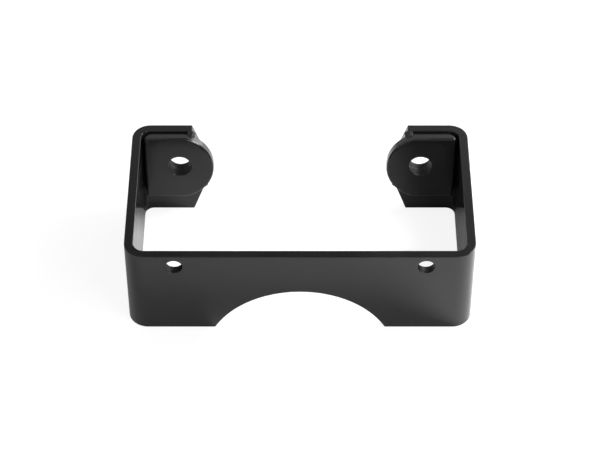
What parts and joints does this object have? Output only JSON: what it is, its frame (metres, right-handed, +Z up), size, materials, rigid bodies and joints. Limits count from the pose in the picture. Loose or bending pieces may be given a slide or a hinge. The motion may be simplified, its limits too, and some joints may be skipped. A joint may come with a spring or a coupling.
{
  "type": "horn bracket",
  "caption": "Folded steel bracket with a web for a horn, arms and turned-in tabs with welded doubler plates and bolt holes.",
  "frame": {"origin": "centre of the bounding box's footprint, on the surface that the lower edge stands on", "axes": "+X across the bracket, -Y out of the front web towards the horn, +Z up"},
  "size_m": [0.1242, 0.068, 0.0366],
  "materials": {
    "black_enamel": "gloss black enamel",
    "enamel_over_weld": "gloss black enamel over weld metal"
  },
  "bodies": {
    "root": {"bracket_strip": "black_enamel", "left_doubler_plate": "black_enamel", "right_doubler_plate": "black_enamel", "left_weld_beads": "enamel_over_weld", "right_weld_beads": "enamel_over_weld"}
  },
  "joints": []
}
